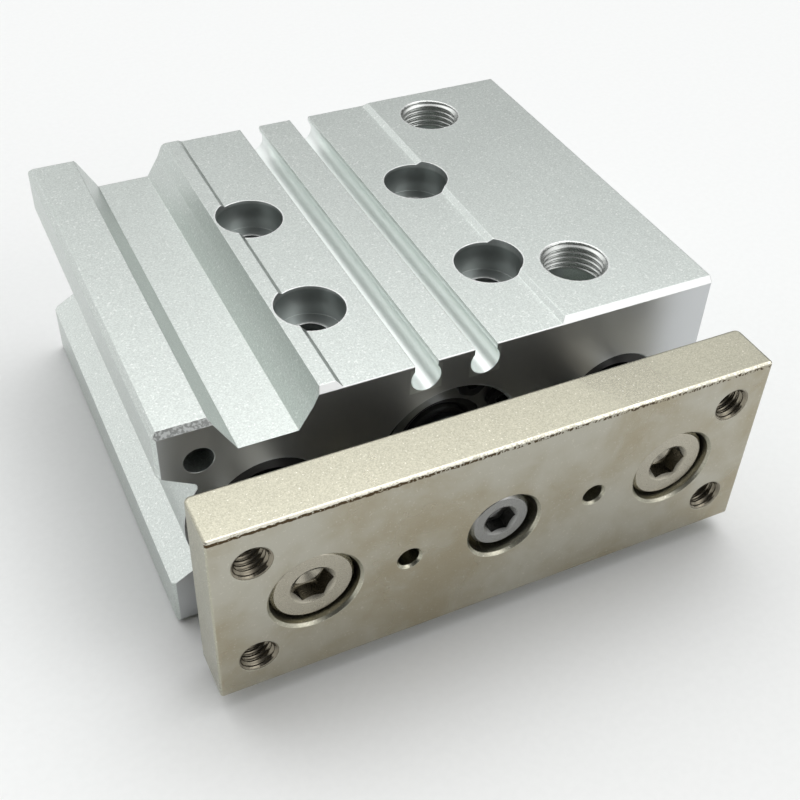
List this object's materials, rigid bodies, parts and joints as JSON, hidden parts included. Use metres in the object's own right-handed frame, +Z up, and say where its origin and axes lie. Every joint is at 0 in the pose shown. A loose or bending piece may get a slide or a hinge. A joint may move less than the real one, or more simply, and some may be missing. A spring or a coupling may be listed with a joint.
{
  "type": "guided pneumatic cylinder",
  "caption": "Compact guided air cylinder: block body with sensor grooves and air ports, and a tool plate carried by a piston rod between two guide rods.",
  "frame": {"origin": "on the bottom face, under the middle of the whole cylinder when retracted", "axes": "+X along the long side of the tool plate towards the air ports, +Y from the tool plate to the back of the body, +Z up from the tapped face to the face with the sensor grooves"},
  "size_m": [0.083, 0.083, 0.036],
  "materials": {
    "body": "satin clear anodised extrusion with a fine sparkle",
    "plate": "nickel plated steel, warm grey, grainy",
    "guide_screw": "nickel plated screw",
    "centre_screw": "stainless screw",
    "rod": "ground, hard chrome plated",
    "cover": "hard anodised, machined",
    "piston": "turned, chromated",
    "retaining_ring": "black phosphated spring steel",
    "bush": "bearing bronze",
    "seal": "black nitrile rubber",
    "bumper": "amber urethane",
    "felt": "oiled wool felt",
    "wiper_holder": "black moulded plastic",
    "magnet": "plastic bonded magnet",
    "wear_ring": "bearing plastic",
    "port_plug": "zinc plated plug"
  },
  "bodies": {
    "barrel": {"cylinder_body": "body", "rod_collar": "cover", "head_cover": "cover", "rod_seal": "seal", "collar_gasket": "seal", "head_gasket": "seal", "front_retaining_ring": "retaining_ring", "rear_retaining_ring": "retaining_ring", "rod_bumper": "bumper", "head_bumper": "bumper", "guide_bush_front_left": "bush", "guide_bush_front_right": "bush", "guide_bush_rear_left": "bush", "guide_bush_rear_right": "bush", "felt_ring_left": "felt", "felt_ring_right": "felt", "felt_holder_left": "wiper_holder", "felt_holder_right": "wiper_holder", "front_port_plug": "port_plug", "rear_port_plug": "port_plug"},
    "carriage": {"tool_plate": "plate", "guide_rod_left": "rod", "guide_rod_right": "rod", "piston_rod": "rod", "guide_screw_left": "guide_screw", "guide_screw_right": "guide_screw", "centre_screw": "centre_screw", "piston": "piston", "piston_seal": "seal", "magnet_ring": "magnet", "wear_ring": "wear_ring"}
  },
  "joints": [
    {"name": "plate_slide", "type": "slide", "parent": "barrel", "child": "carriage", "axis": [0, -1, 0], "range_m": [0, 0.03]}
  ]
}
